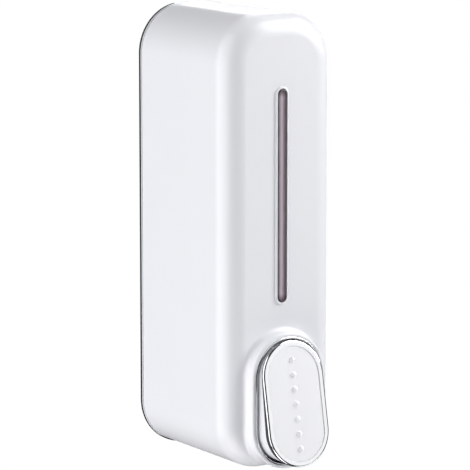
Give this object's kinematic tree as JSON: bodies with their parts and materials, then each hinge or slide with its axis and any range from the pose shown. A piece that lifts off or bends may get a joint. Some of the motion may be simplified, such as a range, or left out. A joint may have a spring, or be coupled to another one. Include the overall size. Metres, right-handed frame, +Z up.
{
  "type": "wall mounted soap dispenser",
  "caption": "Wall mounted soap dispenser: tall rounded housing with a narrow viewing slot and a tilting push button low on the front, over a refillable bottle and plunger pump.",
  "frame": {"origin": "centre of the four wall screw holes, on the wall face of the back plate, at mid height and mid width", "axes": "+Z up, +Y into the wall, -Y out of the wall towards the user, +X to the right of the housing as seen facing the wall"},
  "size_m": [0.0592, 0.0907, 0.2062],
  "materials": {
    "cover_white": "satin to gloss white moulded plastic",
    "pad_white": "satin white moulded plastic",
    "trim_chrome": "polished chrome plating",
    "window_smoke": "smoky tinted clear plastic",
    "plate_plastic": "pale grey moulded plastic with a fine grain",
    "retainer_plastic": "dark moulded plastic",
    "mechanism_plastic": "natural slippery plastic",
    "cap_plastic": "grey moulded plastic",
    "bottle_clear": "frosted clear blow moulded plastic",
    "seal_rubber": "black rubber",
    "valve_rubber": "translucent silicone rubber",
    "pin_steel": "bright drawn steel",
    "screw_steel": "zinc plated steel",
    "spring_steel": "spring steel wire",
    "cam_steel": "stamped steel",
    "lock_metal": "nickel plated lock"
  },
  "bodies": {
    "base": {"back_plate": "plate_plastic", "trim_ring": "trim_chrome", "bottle_shelf": "plate_plastic", "shelf_screws": "screw_steel", "pump_body": "mechanism_plastic", "pump_screws": "screw_steel", "inlet_valve": "valve_rubber", "pump_nut": "cap_plastic", "return_spring": "spring_steel", "outlet_valve": "valve_rubber", "nozzle": "cap_plastic", "neck_seal": "seal_rubber"},
    "housing": {"cover": "cover_white", "cover_hinge_pins": "pin_steel", "window_lens": "window_smoke", "window_retainer": "retainer_plastic", "window_screws": "screw_steel", "bezel_ring": "trim_chrome", "button_pin": "pin_steel", "lock_body": "lock_metal", "lock_nut": "lock_metal"},
    "button": {"button_rim": "trim_chrome", "button_seal": "seal_rubber", "button_body": "cover_white", "button_pad": "pad_white", "button_pusher": "mechanism_plastic", "pusher_screws": "screw_steel"},
    "plunger": {"plunger": "retainer_plastic", "piston_seal": "seal_rubber"},
    "lock": {"lock_plug": "lock_metal", "lock_cam": "cam_steel", "cam_screw": "screw_steel"},
    "reservoir": {"bottle": "bottle_clear", "filler_cap": "cap_plastic", "cap_seal": "seal_rubber"}
  },
  "joints": [
    {"name": "cover_open", "type": "hinge", "parent": "base", "child": "housing", "pos_m": [0, -0.009, -0.0975], "axis": [1, 0, 0], "range_deg": [0, 60]},
    {"name": "button_press", "type": "hinge", "parent": "housing", "child": "button", "pos_m": [0, -0.076, -0.0455], "axis": [1, 0, 0], "range_deg": [0, 8], "stiffness_Nm_per_rad": 0.6},
    {"name": "plunger_slide", "type": "slide", "parent": "base", "child": "plunger", "axis": [0, 1, 0], "range_m": [0, 0.00426], "deforming": ["return_spring"]},
    {"name": "lock_turn", "type": "hinge", "parent": "housing", "child": "lock", "pos_m": [0.027, -0.016, 0.07], "axis": [-1, 0, 0], "range_deg": [0, 90]},
    {"name": "bottle_lift", "type": "slide", "parent": "base", "child": "reservoir", "axis": [0, 0, 1], "range_m": [0, 0.007]}
  ],
  "couplings": [
    {"joint": "plunger_slide", "follows": "button_press", "m_per_rad": 0.0305}
  ]
}
